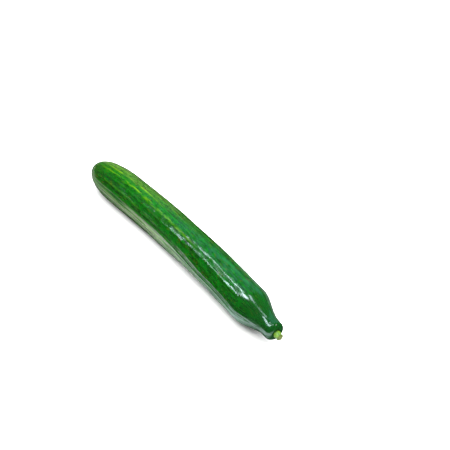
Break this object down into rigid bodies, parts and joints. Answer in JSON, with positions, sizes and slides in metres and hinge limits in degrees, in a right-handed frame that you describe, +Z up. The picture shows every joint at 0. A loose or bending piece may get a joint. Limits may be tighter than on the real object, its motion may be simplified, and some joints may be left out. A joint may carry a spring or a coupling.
{
  "type": "cucumber",
  "caption": "Whole long slicing cucumber with a ridged dark green skin, a tapering neck and a short cut stem, lying on its side.",
  "frame": {"origin": "on the surface it rests on, under the middle of its bounding box", "axes": "+X along its length towards the stem, +Z up, +Y the side that it bows towards"},
  "size_m": [0.3558, 0.05, 0.0442],
  "materials": {
    "skin": "waxy dark green skin with yellow-green streaks along its ridges, glossy",
    "stem": "pale yellow-green stem, satin, with a drier olive cut face"
  },
  "bodies": {
    "root": {"fruit": "skin", "stem": "stem"}
  },
  "joints": []
}
